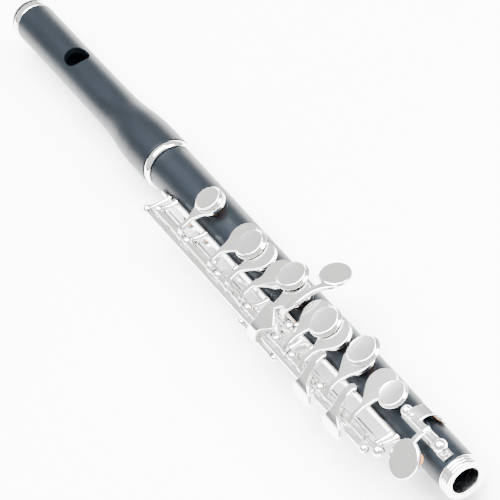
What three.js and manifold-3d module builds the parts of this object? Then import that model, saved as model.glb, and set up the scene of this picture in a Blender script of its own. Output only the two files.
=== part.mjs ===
// A piccolo in C: a head joint with its crown, cork stopper and mouth hole, and a conical body joint
// with Boehm keywork. Lengths are in millimetres. While it is built, the tube's axis is the X axis,
// x runs from the crown's tip (CROWN_TIP) to the foot's end (FOOT_END), and +Z points through the finger
// keys. Angles round the tube are counted from +Z towards -Y, the side of the key rods.
import * as THREE from "three";
import { mergeVertices } from "three/addons/utils/BufferGeometryUtils.js";
import Module from "manifold-3d";

const wasm = await Module();
wasm.setup();

// Driving dimensions.
const CROWN_TIP = 6.4;
const FOOT_END = 321.2;
const GAP = 0.3; // between pieces that touch
const CAP_END = 10; // the crown's black cap ends here
const CROWN_END = 13.7; // its silver ring ends here
const MOUTH_X = 52.8;
const MOUTH_ANGLE = -9; // the head joint stands turned a little from the keys
const MOUTH_LONG = 9.8;
const MOUTH_WIDE = 9.6;
const SOCKET_RING_X = 123.7;
const SHOULDER_X = 127; // where the body joint comes out of the socket ring
const TENON_X = 105;
const FOOT_RING_X = 317;
const HEAD_R = 8.2;
const BULGE_R = 10.25;
const SHOULDER_R = 8.85;
const FOOT_R = 7.25;
const HEAD_BORE_R = 5.5;
const SOCKET_R = 8.2;
const SLEEVE_WALL = 0.45;
const TENON_R = 6.4;
const BORE_TOP_R = 5.2;
const BORE_FOOT_R = 4.6;

// Keywork.
const MAIN_ROD = { y: -15.4, z: 6.6 };
const TRILL_ROD = { y: -18, z: 5.2 };
const GSHARP_ROD = { y: -9.5, z: 7.5 };
const DSHARP_ROD = { y: -0.4, z: 10.15 };
const THUMB_ROD = { y: -13.2, z: -3.4 };
const LEVER_ROD = { y: -19.6, z: 2.9 };
const STEEL_R = 0.65;
const TUBE_R = 1.45;
const TRILL_TUBE_R = 1.2;
const CUP_R = 5.6;
const CUP_HEIGHT = 1.7;
const PAD_STICKS_OUT = 0.5;
const PAD_R = 4.8;
const SEAT_R = 4.2; // the raised ring round a tone hole
const TOP_OF_CUP = GAP + PAD_STICKS_OUT + CUP_HEIGHT; // above the tube, when closed
const ARM_WIDTH = 2;
const ARM_THICK = 1.1;
const TOUCH_LIFT = 0.35; // a finger touch's underside above the cups
const TOUCH_HEIGHT = 1.5;
const TOUCH_BASE_R = 6;
const TOUCH_TOP_R = 5.1;
const KEY_OPENING = 8.2; // degrees that a finger key stands open
const THUMB_OPENING = 10;
const BALL_R = 1.7;
const POST_R = 1;

// Sides of round pieces.
const BODY_SIDES = 32;
const CUP_SIDES = 16;
const HOLE_SIDES = 10;
const TUBE_SIDES = 10;
const BALL_SIDES = 8;

const black = { color: 0x151c26, roughness: 0.45, metalness: 0 };
const silver = { color: 0xd9dadb, roughness: 0.12, metalness: 1 };
const steel = { color: 0x6e7378, roughness: 0.25, metalness: 1 };
const cork = { color: 0xc98a4e, roughness: 0.9, metalness: 0 };
const padSkin = { color: 0xd9893f, roughness: 0.6, metalness: 0 };

const radians = THREE.MathUtils.degToRad;
const piccolo = new THREE.Group();

// Solids.

function solidOf(geometry) {
  const plain = geometry.index ? geometry.toNonIndexed() : geometry.clone();
  plain.deleteAttribute("normal");
  plain.deleteAttribute("uv");
  const merged = mergeVertices(plain, 1e-4);
  const vertProperties = merged.attributes.position.array;
  const triVerts = new Uint32Array(merged.index.array);
  const solid = new wasm.Manifold(new wasm.Mesh({ numProp: 3, vertProperties, triVerts }));
  if (solid.volume() > 0) return solid;
  for (let i = 0; i < triVerts.length; i += 3) {
    [triVerts[i + 1], triVerts[i + 2]] = [triVerts[i + 2], triVerts[i + 1]];
  }
  return new wasm.Manifold(new wasm.Mesh({ numProp: 3, vertProperties, triVerts }));
}

function geometryOf(solid) {
  const mesh = solid.getMesh();
  const positions = new Float32Array(mesh.numVert * 3);
  for (let i = 0; i < mesh.numVert; i += 1) {
    positions.set(mesh.vertProperties.subarray(i * mesh.numProp, i * mesh.numProp + 3), i * 3);
  }
  const geometry = new THREE.BufferGeometry();
  geometry.setAttribute("position", new THREE.BufferAttribute(positions, 3));
  geometry.setIndex(new THREE.BufferAttribute(mesh.triVerts, 1));
  geometry.computeVertexNormals();
  return geometry;
}

function join(...solids) {
  return solids.reduce((all, one) => all.add(one));
}

function add(name, solid, look) {
  const mesh = new THREE.Mesh(geometryOf(solid), new THREE.MeshStandardMaterial(look));
  mesh.name = name;
  piccolo.add(mesh);
}

// A solid of revolution about the Z axis from [radius, height] points.
function turned(points, sides) {
  const profile = points.map(([radius, height]) => new THREE.Vector2(radius, height));
  return solidOf(new THREE.LatheGeometry(profile, sides).rotateX(Math.PI / 2));
}

// The same about the X axis, from [x, radius] points.
function turnedAlongTube(points, sides) {
  return turned(points.map(([x, radius]) => [radius, x]), sides).rotate([0, 90, 0]);
}

// A closed ring profile: outer points, then inner points back.
function ringAlongTube(outer, inner, sides) {
  return turnedAlongTube([...outer, ...inner, outer[0]], sides);
}

function rodAlong(x0, x1, radius, sides, at = { y: 0, z: 0 }) {
  return turnedAlongTube([[x0, 0], [x0, radius], [x1, radius], [x1, 0]], sides).translate([0, at.y, at.z]);
}

function tubeAlong(x0, x1, outer, inner, sides, at) {
  const ring = ringAlongTube([[x0, outer], [x1, outer]], [[x1, inner], [x0, inner]], sides);
  return ring.translate([0, at.y, at.z]);
}

// Turns a solid built over the tube's top to the place x, angle.
function placed(solid, x, angle) {
  return solid.translate([x, 0, 0]).rotate([angle, 0, 0]);
}

// Turns a solid about a rod.
function swung(solid, rod, degrees) {
  return solid
    .translate([0, -rod.y, -rod.z])
    .rotate([degrees, 0, 0])
    .translate([0, rod.y, rod.z]);
}

// An outline of [x, y] points raised from z0 to z1.
function raised(outline, z0, z1) {
  const shape = new THREE.Shape(outline.map(([x, y]) => new THREE.Vector2(x, y)));
  const geometry = new THREE.ExtrudeGeometry(shape, { depth: z1 - z0, bevelEnabled: false, curveSegments: 8 });
  return solidOf(geometry.translate(0, 0, z0));
}

// A flat strip bent along a path of [y, z] points, from x0 to x1.
function bentStrip(path, thickness, x0, x1) {
  const points = path.map(([y, z]) => new THREE.Vector2(y, z));
  const side = points.map((point, i) => {
    const before = points[Math.max(i - 1, 0)];
    const after = points[Math.min(i + 1, points.length - 1)];
    const along = after.clone().sub(before).normalize();
    return new THREE.Vector2(-along.y, along.x).multiplyScalar(thickness / 2);
  });
  const outline = [
    ...points.map((point, i) => point.clone().add(side[i])),
    ...points.map((point, i) => point.clone().sub(side[i])).reverse(),
  ];
  const geometry = new THREE.ExtrudeGeometry(new THREE.Shape(outline), { depth: x1 - x0, bevelEnabled: false });
  // The shape's own x and y become Y and Z, and its depth becomes X.
  const turn = new THREE.Matrix4().makeBasis(
    new THREE.Vector3(0, 1, 0),
    new THREE.Vector3(0, 0, 1),
    new THREE.Vector3(1, 0, 0),
  );
  return solidOf(geometry.applyMatrix4(turn).translate(x0, 0, 0));
}

function circle(x, y, radius, sides) {
  return Array.from({ length: sides }, (_, i) => {
    const turn = (2 * Math.PI * i) / sides;
    return [x + radius * Math.cos(turn), y + radius * Math.sin(turn)];
  });
}

// The convex outline round some points.
function outlineRound(points) {
  const sorted = [...points].sort((a, b) => a[0] - b[0] || a[1] - b[1]);
  const turnOf = (o, a, b) => (a[0] - o[0]) * (b[1] - o[1]) - (a[1] - o[1]) * (b[0] - o[0]);
  const half = (list) => {
    const kept = [];
    for (const point of list) {
      while (kept.length > 1 && turnOf(kept.at(-2), kept.at(-1), point) <= 1e-9) kept.pop();
      kept.push(point);
    }
    return kept.slice(0, -1);
  };
  return [...half(sorted), ...half([...sorted].reverse())];
}

// The tube.

const bodyRadius = (x) => THREE.MathUtils.mapLinear(x, SHOULDER_X, FOOT_RING_X, SHOULDER_R, FOOT_R);

// The mouth hole's rounded outline, between an ellipse and a rectangle.
function mouthOutline() {
  const bulge = (value) => Math.sign(value) * Math.abs(value) ** 0.8;
  return circle(0, 0, 1, 24).map(([x, y]) => [(bulge(x) * MOUTH_LONG) / 2, (bulge(y) * MOUTH_WIDE) / 2]);
}

function addHeadJoint() {
  const cap = turnedAlongTube(
    [[CROWN_TIP, 0], [CROWN_TIP + 0.15, 4.5], [CROWN_TIP + 0.6, 6.6], [CROWN_TIP + 1.3, 7.7],
      [CROWN_TIP + 2.4, 8.2], [CAP_END - GAP, 8.25], [CAP_END - GAP, 0]],
    BODY_SIDES,
  );
  add("crown_cap", cap, black);
  const ringOuter = [[CAP_END, 8.3], [CAP_END + 0.5, 8.5], [CROWN_END - GAP - 0.5, 8.5], [CROWN_END - GAP, 8.3]];
  const plug = [[CROWN_END - GAP, 5.1], [CROWN_END + 5, 5.1], [CROWN_END + 5, 2]];
  add("crown_ring", ringAlongTube([...ringOuter, ...plug], [[CAP_END, 2]], BODY_SIDES), silver);

  const outer = [
    [CROWN_END, HEAD_R],
    [44, HEAD_R - 0.15],
    [80, HEAD_R],
    [88, HEAD_R + 0.2],
    [92.4, HEAD_R + 0.5],
    [97, HEAD_R + 1.05],
    [101.5, HEAD_R + 1.55],
    [106, BULGE_R - 0.2],
    [111, BULGE_R],
    [SOCKET_RING_X - GAP, BULGE_R],
  ];
  const socketDepth = TENON_X - 1;
  const inner = [
    [SOCKET_RING_X - GAP, SOCKET_R],
    [socketDepth, SOCKET_R],
    [socketDepth, HEAD_BORE_R],
    [CROWN_END, HEAD_BORE_R],
  ];
  const tube = ringAlongTube(outer, inner, BODY_SIDES);
  add("head_tube", tube.subtract(placed(raised(mouthOutline(), 0, 12), MOUTH_X, MOUTH_ANGLE)), black);

  const ring = [[SOCKET_RING_X, 9.9], [SOCKET_RING_X + 0.7, 10.15], [SHOULDER_X - 1.1, 10], [SHOULDER_X - GAP, 9.4]];
  add("socket_ring", ringAlongTube(ring, [[SHOULDER_X - GAP, SOCKET_R], [SOCKET_RING_X, SOCKET_R]], BODY_SIDES), silver);
  const sleeveR = SOCKET_R - GAP;
  const sleeve = tubeAlong(TENON_X - 0.5, SHOULDER_X - 1, sleeveR, sleeveR - SLEEVE_WALL, BODY_SIDES, { y: 0, z: 0 });
  add("socket_sleeve", sleeve, silver);

  const faceX = MOUTH_X - 8; // the cork's face stands this far above the middle of the mouth hole
  add("stopper_plate", rodAlong(faceX - 1, faceX, HEAD_BORE_R - GAP, 20), black);
  add("stopper_cork", rodAlong(faceX - 13, faceX - 1 - GAP, HEAD_BORE_R - GAP, 20), cork);
  const nut = rodAlong(faceX - 16, faceX - 13 - GAP, 4, 12);
  add("stopper_screw", join(nut, rodAlong(CAP_END + 0.6, faceX - 15, 1.5, 10)), steel);
}

// A raised ring with a hole down into the bore.
function toneHole(body, x, angle, holeR) {
  const top = bodyRadius(x) - 0.05;
  const ring = turned([[0, BORE_TOP_R + 1.2], [SEAT_R, BORE_TOP_R + 1.2], [SEAT_R, top], [0, top]], HOLE_SIDES);
  const drill = turned([[0, 0], [holeR, 0], [holeR, 12], [0, 12]], HOLE_SIDES);
  return body.add(placed(ring, x, angle)).subtract(placed(drill, x, angle));
}

const TONE_HOLES = [
  [149.5, 140, 1.5],
  [160.7, 140, 1.5],
  [165.7, 0, 1.6],
  [182, 165, 2.6],
  [189.5, 0, 2.6],
  [201.6, 0, 2.6],
  [213, 0, 2.7],
  [224.9, 0, 2.7],
  [219.9, 110, 2.7],
  [238.2, 0, 2.8],
  [249.9, 0, 2.8],
  [264.2, 0, 2.8],
  [278.6, 0, 2.8],
  [295.1, -64, 2.8],
];

function addBodyJoint() {
  const outer = [[TENON_X, TENON_R], [SHOULDER_X, TENON_R], [SHOULDER_X, SHOULDER_R], [FOOT_RING_X - GAP, FOOT_R]];
  const inner = [[FOOT_RING_X - GAP, BORE_FOOT_R], [TENON_X, BORE_TOP_R]];
  let body = ringAlongTube(outer, inner, BODY_SIDES);
  for (const [x, angle, holeR] of TONE_HOLES) body = toneHole(body, x, angle, holeR);
  add("body_tube", body, black);
  const corkOuter = SOCKET_R - SLEEVE_WALL - 2 * GAP;
  const corkInner = TENON_R + 0.2;
  const wrap = tubeAlong(TENON_X + 3, SHOULDER_X - 5, corkOuter, corkInner, BODY_SIDES, { y: 0, z: 0 });
  add("tenon_cork", wrap, cork);
  const ring = [[FOOT_RING_X, 7.3], [FOOT_RING_X + 0.5, 7.6], [FOOT_END - 0.7, 7.6], [FOOT_END, 7.2]];
  const opening = [[FOOT_END, 5.2], [FOOT_END - 0.4, 5], [FOOT_RING_X, BORE_FOOT_R]];
  add("foot_ring", ringAlongTube(ring, opening, BODY_SIDES), silver);
}

// Straps, posts and rods.

// A strip that lies on the tube between two angles and follows its taper.
function strap(x0, x1, fromAngle, toAngle) {
  const steps = 4;
  const arc = (radius) =>
    Array.from({ length: steps + 1 }, (_, i) => {
      const turn = radians(THREE.MathUtils.lerp(fromAngle, toAngle, i / steps));
      return [-radius * Math.sin(turn), radius * Math.cos(turn)];
    });
  const inner = arc(1 + GAP / FOOT_R);
  const outer = arc(1 + (GAP + 0.8) / FOOT_R).reverse();
  const shape = new THREE.Shape([...inner, ...outer].map(([y, z]) => new THREE.Vector2(y, z)));
  const geometry = new THREE.ExtrudeGeometry(shape, { depth: 1, bevelEnabled: false });
  const position = geometry.getAttribute("position");
  for (let i = 0; i < position.count; i += 1) {
    const x = THREE.MathUtils.lerp(x0, x1, position.getZ(i));
    const radius = bodyRadius(x);
    position.setXYZ(i, x, position.getX(i) * radius, position.getY(i) * radius);
  }
  return solidOf(geometry);
}

// A post stands on the tube along the line from the axis to its rod, with a ball round the rod.
function post(x, rod, ballR = BALL_R, ballX = x) {
  const angle = THREE.MathUtils.radToDeg(Math.atan2(-rod.y, rod.z));
  const reach = Math.hypot(rod.y, rod.z);
  const foot = bodyRadius(x) + 0.7;
  const stem = turned([[0, foot], [POST_R, foot], [POST_R, reach - 0.8], [0, reach - 0.8]], 8);
  const ball = solidOf(new THREE.SphereGeometry(ballR, BALL_SIDES, 6)).translate([ballX, rod.y, rod.z]);
  return placed(stem, x, angle).add(ball);
}

function strapWithPosts(name, plate, posts, steels) {
  let solid = join(plate, ...posts);
  for (const [x0, x1, rod] of steels) solid = solid.subtract(rodAlong(x0, x1, STEEL_R + GAP, 8, rod));
  add(name, solid, silver);
}

const LEFT_POSTS = [147.6, 169, 191.4, 212.4, 231.3];
const RIGHT_POSTS = [241.8, 260.2];
const RIGHT_END = 295.9;
const RIGHT_END_FOOT = 293.6; // the last post's foot, nearer the head than its ball
const TRILL_POSTS = [142.6, 290.6];
const LEVER_POSTS = [212.6, 234.6];
const END_BALL_R = 2.2;

function addStraps() {
  const trillTop = post(TRILL_POSTS[0], TRILL_ROD);
  strapWithPosts("trill_strap", strap(137, 145.6, 68, 84), [trillTop], [[138, 150, TRILL_ROD]]);

  const mainPosts = [...LEFT_POSTS, ...RIGHT_POSTS].map((x) => post(x, MAIN_ROD));
  const endPosts = [
    post(TRILL_POSTS[1], TRILL_ROD),
    post(RIGHT_END_FOOT, MAIN_ROD, END_BALL_R, RIGHT_END),
    rodAlong(RIGHT_END_FOOT - 1, RIGHT_END, 1.3, TUBE_SIDES, MAIN_ROD),
  ];
  const leverPosts = LEVER_POSTS.flatMap((x) => [strap(x - 1.2, x + 1.2, 72, 88), post(x, LEVER_ROD, 1.3)]);
  strapWithPosts("main_strap", strap(146, 294.8, 59.5, 74), [...mainPosts, ...endPosts, ...leverPosts], [
    [145, 294.8, MAIN_ROD],
    [280, 299, TRILL_ROD],
    [212.1, 234.9, LEVER_ROD],
  ]);

  const gsharpPosts = [post(221, GSHARP_ROD, 1.5), post(231.3, GSHARP_ROD, 1.9)];
  strapWithPosts("gsharp_strap", strap(218.5, 233, 46, 54), gsharpPosts, [[218, 234, GSHARP_ROD]]);

  const dsharpPosts = [post(292.5, DSHARP_ROD, 1.9), post(311.8, DSHARP_ROD, 2.4)];
  strapWithPosts("dsharp_strap", strap(291.3, 315.8, -10, 18), dsharpPosts, [[289, 316, DSHARP_ROD]]);

  const thumbPosts = [post(176.5, THUMB_ROD), post(206, THUMB_ROD)];
  strapWithPosts("thumb_strap", strap(174.5, 208, 98, 111), thumbPosts, [[174, 209, THUMB_ROD]]);
}

function addRods() {
  add("left_rod", rodAlong(146.2, 232.2, STEEL_R, 8, MAIN_ROD), steel);
  add("right_rod", rodAlong(232.6, 294.4, STEEL_R, 8, MAIN_ROD), steel);
  add("gsharp_rod", rodAlong(219.8, 232.8, STEEL_R, 8, GSHARP_ROD), steel);
  add("dsharp_rod", rodAlong(291.3, 313.4, STEEL_R, 8, DSHARP_ROD), steel);
  add("thumb_rod", rodAlong(175, 207.5, STEEL_R, 8, THUMB_ROD), steel);
  add("lever_rod", rodAlong(212.4, 234.6, STEEL_R, 8, LEVER_ROD), steel);
}

// Keys.

// A round cup, open below for its pad, with its pad's face at the height faceZ.
function cupAndPad(faceZ, radius = CUP_R, height = CUP_HEIGHT) {
  const rim = faceZ + PAD_STICKS_OUT;
  const top = rim + height;
  const wall = 0.5;
  const hollow = rim + height * 0.53;
  const cup = turned(
    [[0, hollow], [radius - wall, hollow], [radius - wall, rim], [radius, rim], [radius, top - 0.4],
      [radius - 0.4, top], [0, top]],
    CUP_SIDES,
  );
  const padR = radius - wall - GAP;
  const pad = turned([[0, faceZ], [padR - 0.4, faceZ], [padR, faceZ + 0.4], [padR, hollow - GAP], [0, hollow - GAP]], 16);
  return { cup, pad, top };
}

function fingerTouch(x, y, z, baseR = TOUCH_BASE_R) {
  const topR = baseR - (TOUCH_BASE_R - TOUCH_TOP_R);
  const dish = turned([[0, 0], [baseR, 0], [baseR, 0.5], [topR, TOUCH_HEIGHT], [topR - 0.6, TOUCH_HEIGHT], [0, TOUCH_HEIGHT - 0.3]], CUP_SIDES);
  return dish.translate([x, y, z]);
}

// The spoon-shaped plate on a cup, running out to the arm.
function spoon(x, armX, top, radius) {
  const end = [[armX - ARM_WIDTH / 2, -9.5], [armX + ARM_WIDTH / 2, -9.5]];
  return raised(outlineRound([...circle(x, 0, radius - 0.4, CUP_SIDES), ...end]), top - 0.9, top);
}

function armToMainRod(armX, top) {
  const path = [[-8.5, top - 0.55], [-11.8, top - 0.6], [-14.2, top - 1.5], [-15.3, MAIN_ROD.z + 1.2]];
  return bentStrip(path, ARM_THICK, armX - ARM_WIDTH / 2, armX + ARM_WIDTH / 2);
}

// A key on the main rod: its cup closes the hole at x, its hinge tube runs from tube[0] to tube[1].
function addMainKey(name, { x, armX, tube, touch, cupR = CUP_R }) {
  const seat = bodyRadius(x) - 0.05 + GAP;
  const { cup, pad, top } = cupAndPad(seat, cupR);
  const hinge = tubeAlong(tube[0], tube[1], TUBE_R, STEEL_R + GAP, TUBE_SIDES, MAIN_ROD);
  let key = join(cup.translate([x, 0, 0]), spoon(x, armX, top, cupR), armToMainRod(armX, top), hinge);
  if (touch) {
    const between = [(touch.x + x) / 2, touch.y / 2];
    const neck = turned([[0, top - 0.5], [2, top - 0.5], [2, top + TOUCH_LIFT + 0.5], [0, top + TOUCH_LIFT + 0.5]], 10);
    key = join(key, neck.translate([...between, 0]), fingerTouch(touch.x, touch.y, top + TOUCH_LIFT, touch.baseR));
  }
  add(name + "_key", swung(key, MAIN_ROD, KEY_OPENING), silver);
  add(name + "_pad", swung(pad.translate([x, 0, 0]), MAIN_ROD, KEY_OPENING), padSkin);
}

function addMainKeys() {
  addMainKey("c", { x: 165.7, armX: 165.7, tube: [149.7, 166.9], touch: { x: 165.7, y: 0 }, cupR: 5.4 });
  addMainKey("bb", { x: 189.5, armX: 187.2, tube: [171.1, 189.3] });
  addMainKey("a", { x: 201.6, armX: 199.6, tube: [193.5, 203.6], touch: { x: 195.2, y: 0 }, cupR: 5.4 });
  addMainKey("g", { x: 213, armX: 209, tube: [203.9, 210.3], touch: { x: 219, y: 3 }, cupR: 5.4 });
  addMainKey("g_lower", { x: 224.9, armX: 222.8, tube: [214.5, 229.2], cupR: 5.2 });
  addMainKey("fsharp", { x: 237.8, armX: 238.9, tube: [233.4, 239.8], cupR: 5.4 });
  addMainKey("f", { x: 249.9, armX: 249.2, tube: [243.9, 258.1], touch: { x: 243.9, y: 0.4 } });
  addMainKey("e", { x: 264.2, armX: 265.4, tube: [262.3, 272], touch: { x: 264, y: 3 } });
  addMainKey("d", { x: 278.6, armX: 280.4, tube: [272.3, 288.5], touch: { x: 285.9, y: 0, baseR: 4.8 } });
}

// A trill key: a tongue between the finger keys that ends in a lobe over the rods, and a closed cup
// under the tube near the head.
function trillKey(tongueX, cupX, tubes) {
  const plan = outlineRound([
    ...circle(tongueX + 0.4, -9.8, 2.2, 12),
    ...circle(tongueX + 0.4, -16, 2.2, 12),
  ]);
  const lobePlan = outlineRound([
    ...circle(tongueX + 0.6, -16.4, 2.6, 12),
    ...circle(tongueX + 4.6, -19, 3.9, 16),
    ...circle(tongueX + 0.8, -20, 2.8, 12),
  ]);
  const path = [[-7.6, 12.6], [-10.5, 12.5], [-14.5, 11.2], [-18.2, 8.8], [-20.8, 5.8], [-21.9, 3]];
  const curved = bentStrip(path, 1.7, tongueX - 5, tongueX + 9);
  const shaped = curved.intersect(join(raised(plan, -5, 20), raised(lobePlan, -5, 20)));
  const web = bentStrip([[-18.2, 8.4], [-18, 6]], 1.6, tongueX - 1.5, tongueX + 3.5);
  const angle = 140;
  const { cup, pad, top } = cupAndPad(bodyRadius(cupX) - 0.05 + GAP, 4.4);
  const reach = [[-18, 4.4], [-17.6, 1.2], [-15.8, -1.8], [-13.2, -4], [-7.2, -9]];
  const arm = bentStrip(reach, ARM_THICK, cupX - 0.9, cupX + 0.9);
  const lid = turned([[0, top - 0.5], [3.4, top - 0.5], [3.4, top + 0.6], [0, top + 0.6]], 14);
  const key = join(shaped, web, arm, placed(cup, cupX, angle), placed(lid, cupX, angle), ...tubes);
  return { key, pad: placed(pad, cupX, angle) };
}

function addTrillKeys() {
  const outerTube = tubeAlong(158, 259.5, TRILL_TUBE_R, STEEL_R + GAP, TUBE_SIDES, TRILL_ROD);
  const d = trillKey(254.2, 160.7, [outerTube]);
  add("trill_d_key", d.key, silver);
  add("trill_d_pad", d.pad, padSkin);
  const through = rodAlong(141.6, 291.6, STEEL_R, 8, TRILL_ROD);
  const upper = rodAlong(144.8, 157.6, TRILL_TUBE_R, TUBE_SIDES, TRILL_ROD);
  const lower = rodAlong(259.9, 288.4, TRILL_TUBE_R, TUBE_SIDES, TRILL_ROD);
  const dsharp = trillKey(273.2, 149.5, [through, upper, lower]);
  add("trill_dsharp_key", dsharp.key, silver);
  add("trill_dsharp_pad", dsharp.pad, padSkin);
}

function addGSharpKey() {
  const x = 219.9;
  const angle = 110;
  const { cup, pad } = cupAndPad(bodyRadius(x) - 0.05 + GAP);
  const hinge = tubeAlong(223, 229, 1.3, STEEL_R + GAP, TUBE_SIDES, GSHARP_ROD);
  const down = bentStrip([[-10.4, 6.6], [-12, 3.6], [-12.4, 1.4], [-11.4, -1.4]], ARM_THICK, 223.2, 225.4);
  const foot = bentStrip([[-12.1, 1.3], [-10.25, -3.73], [-9.6, -5.6]], ARM_THICK, 218.4, 225.4);
  const rise = bentStrip([[-9.4, 8.3], [-8.9, 10.8], [-7.2, 12.8]], 1.4, 226.6, 229);
  const shift = bentStrip([[-8.3, 11.5], [-6.8, 13.1], [-5, 14.2]], 1.4, 226.6, 232.3);
  const arm = bentStrip([[-6, 13.6], [-3, 15], [0, 15.5], [5, 15.2], [9.5, 14.2]], 1.5, 229.6, 232.3);
  const touch = turned([[0, 0], [5.9, 0], [5.9, 0.9], [5.3, 1.4], [0, 1.2]], 20).rotate([-14, 0, 0]);
  const plate = touch.translate([229.6, 13.2, 12.6]);
  const key = join(hinge, down, foot, rise, shift, arm, plate, placed(cup, x, angle));
  add("gsharp_key", key, silver);
  add("gsharp_pad", placed(pad, x, angle), padSkin);
}

// The D sharp key: a closed cup on the far side, and the little finger's touch on the near side.
function addDSharpKey() {
  const x = 295.1;
  const angle = -64;
  const { cup, pad } = cupAndPad(bodyRadius(x) - 0.05 + GAP, 5.8, 0.9);
  const hinge = tubeAlong(294.6, 308.9, TUBE_R, STEEL_R + GAP, TUBE_SIDES, DSHARP_ROD);
  const blade = bentStrip([[0.2, 11.2], [3, 10.9], [5.6, 9.4], [7.6, 6.4]], 1, 294.8, 299.2);
  const arm = bentStrip([[-0.9, 11.3], [-3.6, 11.4], [-6.4, 10.4], [-8.8, 8.6]], 1.2, 303.4, 305.8);
  const touchAngle = 37;
  const plate = turned([[0, 11.3], [6.3, 11.3], [6.8, 11.8], [6.8, 12.6], [6.5, 12.9], [0, 12.8]], 20);
  const touch = placed(plate.translate([0, -4.7, 0]), 305, touchAngle);
  add("dsharp_key", join(hinge, blade, arm, touch, placed(cup, x, angle)), silver);
  add("dsharp_pad", placed(pad, x, angle), padSkin);
}

function addThumbKeys() {
  const x = 182;
  const angle = 165;
  const { cup, pad } = cupAndPad(bodyRadius(x) - 0.05 + GAP);
  const hinge = tubeAlong(178.7, 191.6, 1.3, STEEL_R + GAP, TUBE_SIDES, THUMB_ROD);
  const arm = bentStrip([[-13.2, -4.4], [-12.2, -7.6], [-9.4, -9.4], [-2.4, -11.1]], ARM_THICK, x - 1, x + 1);
  const paddle = bentStrip([[-13.9, -4.2], [-14.5, -8], [-14, -12.4]], 1, 185, 191.4);
  add("thumb_b_key", swung(join(hinge, arm, paddle, placed(cup, x, angle)), THUMB_ROD, -THUMB_OPENING), silver);
  add("thumb_b_pad", swung(placed(pad, x, angle), THUMB_ROD, -THUMB_OPENING), padSkin);
  const leverTube = tubeAlong(192, 203.8, 1.3, STEEL_R + GAP, TUBE_SIDES, THUMB_ROD);
  const leverPaddle = bentStrip([[-13.9, -4.2], [-15, -8], [-14.8, -12.8]], 1, 192.2, 198.6);
  const finger = bentStrip([[-13.4, -2.4], [-14, -0.4], [-14.6, 1.4]], 1, 200, 201.8);
  add("thumb_bb_lever", swung(join(leverTube, leverPaddle, finger), THUMB_ROD, -THUMB_OPENING), silver);
}

// The side lever: a pear-shaped touch over the rods on its own short rod outside them.
function addSideLever() {
  const hinge = tubeAlong(219.2, 233, 1.15, STEEL_R + GAP, TUBE_SIDES, LEVER_ROD);
  const path = [[-8.6, 14.9], [-13, 14.1], [-17, 11.6], [-20, 8], [-21.3, 4.6], [-20.9, 3]];
  const curved = bentStrip(path, 1.2, 218, 234);
  const head = raised([[221.4, -17.4], [226, -17.4], [231.6, -15.6], [232.8, -14.2], [231.8, -12.6], [227.4, -9.7],
    [224.2, -9.7], [223.4, -12.4]], 0, 20);
  const stem = raised([[219.9, -23], [225.2, -23], [226, -17.2], [221.4, -17.2]], 0, 20);
  add("bb_side_lever", join(curved.intersect(head.add(stem)), hinge), silver);
}

// Needle springs: thin wires that start at a post and press on a key's hinge tube.
const NEEDLES = [
  ["c", 149.2, 161, -12.6, 4.4],
  ["bb", 171, 183, -12.6, 4.4],
  ["a", 193.2, 203, -12.6, 4.4],
  ["g_lower", 214.4, 222, -12.6, 4.4],
  ["f", 243.8, 254, -12.6, 4.4],
  ["e", 262, 270, -12.6, 4.4],
  ["d", 278, 288.6, -12.6, 4.4],
  ["dsharp", 297, 302, 2, 9.2],
];

function addNeedles() {
  for (const [name, x0, x1, y, z] of NEEDLES) {
    add("spring_" + name, rodAlong(x0, x1, 0.28, 6, { y, z }), steel);
  }
}

addHeadJoint();
addBodyJoint();
addStraps();
addRods();
addMainKeys();
addTrillKeys();
addGSharpKey();
addDSharpKey();
addThumbKeys();
addSideLever();
addNeedles();

// The origin is the middle of the box's underside, with +X towards the foot.
const box = new THREE.Box3().setFromObject(piccolo);
const middle = box.getCenter(new THREE.Vector3());
piccolo.position.set(-middle.x, -middle.y, -box.min.z);

export default piccolo;
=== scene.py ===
"""The looks of a piccolo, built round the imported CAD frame.

Shapes are worked out in millimetres along the tube: x runs from the crown's tip (CROWN_TIP) to the foot's end
(FOOT_END), and y and z are measured from the tube's axis, with +z through the finger keys. Angles round the tube
are counted from +z towards -y, the side of the key rods. The last step of each piece puts it into the frame, in
metres.
"""

import math

import bpy
from mathutils import Matrix, Vector


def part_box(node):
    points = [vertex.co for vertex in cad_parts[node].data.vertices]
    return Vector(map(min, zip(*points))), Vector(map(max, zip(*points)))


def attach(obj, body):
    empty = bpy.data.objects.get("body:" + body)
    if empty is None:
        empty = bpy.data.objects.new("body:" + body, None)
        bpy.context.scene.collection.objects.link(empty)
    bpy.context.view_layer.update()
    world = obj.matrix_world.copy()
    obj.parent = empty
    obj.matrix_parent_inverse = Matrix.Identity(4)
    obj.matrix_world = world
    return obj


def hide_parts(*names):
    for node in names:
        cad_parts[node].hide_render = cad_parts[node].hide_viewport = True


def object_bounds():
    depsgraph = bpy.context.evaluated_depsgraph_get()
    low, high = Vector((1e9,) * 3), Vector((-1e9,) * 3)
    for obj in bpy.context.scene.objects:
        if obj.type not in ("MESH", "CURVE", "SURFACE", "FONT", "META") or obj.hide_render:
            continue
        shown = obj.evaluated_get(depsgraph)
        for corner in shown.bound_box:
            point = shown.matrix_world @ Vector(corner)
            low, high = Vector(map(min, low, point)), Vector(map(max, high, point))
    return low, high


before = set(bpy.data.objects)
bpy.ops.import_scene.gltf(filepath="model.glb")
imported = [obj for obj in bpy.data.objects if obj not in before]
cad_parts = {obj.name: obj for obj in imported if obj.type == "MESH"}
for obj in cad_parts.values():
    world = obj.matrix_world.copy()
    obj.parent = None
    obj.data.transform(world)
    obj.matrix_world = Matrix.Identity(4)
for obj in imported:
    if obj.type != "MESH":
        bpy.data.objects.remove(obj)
CAD_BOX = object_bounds()

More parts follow.
